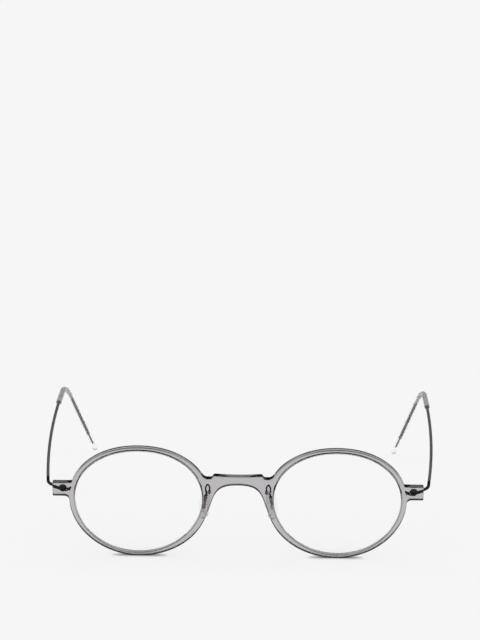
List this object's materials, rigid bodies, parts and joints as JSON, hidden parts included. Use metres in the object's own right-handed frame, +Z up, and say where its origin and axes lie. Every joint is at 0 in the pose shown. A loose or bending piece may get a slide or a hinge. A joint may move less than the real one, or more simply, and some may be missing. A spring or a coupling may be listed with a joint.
{
  "type": "round eyeglasses",
  "caption": "Round slim-rimmed plastic eyeglasses with clear lenses, wire temples that fold on pinned wire eyes, soft ear sleeves and clear nose pads that swivel on wire arms.",
  "frame": {"origin": "on the floor, under the middle of the part's outer box", "axes": "+X to the right temple as seen from the front, +Y back along the temples, +Z up; the front leans back and stands on its rims and the tips of the ear sleeves"},
  "size_m": [0.1376, 0.1378, 0.0419],
  "materials": {
    "acetate": "polished, clear grey, lets light through",
    "clear_lens": "clear, uncoated, optical plastic",
    "grey_metal": "satin grey plating on spring wire",
    "black_metal": "satin black",
    "sleeve_rubber": "soft, satin, smoky and slightly see-through",
    "pad_silicone": "soft, clear, satin"
  },
  "bodies": {
    "front_frame": {"front": "acetate", "lens_right": "clear_lens", "hinge_bracket_right": "grey_metal", "hinge_pin_right": "black_metal", "hinge_pin_cap_right": "grey_metal", "pad_arm_right": "grey_metal", "pad_arm_bush_right": "grey_metal", "lens_left": "clear_lens", "hinge_bracket_left": "grey_metal", "hinge_pin_left": "black_metal", "hinge_pin_cap_left": "grey_metal", "pad_arm_left": "grey_metal", "pad_arm_bush_left": "grey_metal"},
    "temple_right": {"temple_wire_right": "grey_metal", "ear_sleeve_right": "sleeve_rubber"},
    "temple_left": {"temple_wire_left": "grey_metal", "ear_sleeve_left": "sleeve_rubber"},
    "pad_right": {"pad_core_right": "black_metal", "nose_pad_right": "pad_silicone"},
    "pad_left": {"pad_core_left": "black_metal", "nose_pad_left": "pad_silicone"}
  },
  "joints": [
    {"name": "temple_right_hinge", "type": "hinge", "parent": "front_frame", "child": "temple_right", "pos_m": [0.06125, -0.06185, 0.02487], "axis": [0, -0.1771, 0.9842], "range_deg": [0, 80]},
    {"name": "temple_left_hinge", "type": "hinge", "parent": "front_frame", "child": "temple_left", "pos_m": [-0.06125, -0.06185, 0.02487], "axis": [0, 0.1771, -0.9842], "range_deg": [0, 85]},
    {"name": "pad_right_swivel", "type": "hinge", "parent": "front_frame", "child": "pad_right", "pos_m": [0.01167, -0.05797, 0.0191], "axis": [-0.1371, -0.342, 0.9296], "range_deg": [-12, 12]},
    {"name": "pad_left_swivel", "type": "hinge", "parent": "front_frame", "child": "pad_left", "pos_m": [-0.01167, -0.05797, 0.0191], "axis": [0.1371, -0.342, 0.9296], "range_deg": [-12, 12]}
  ]
}
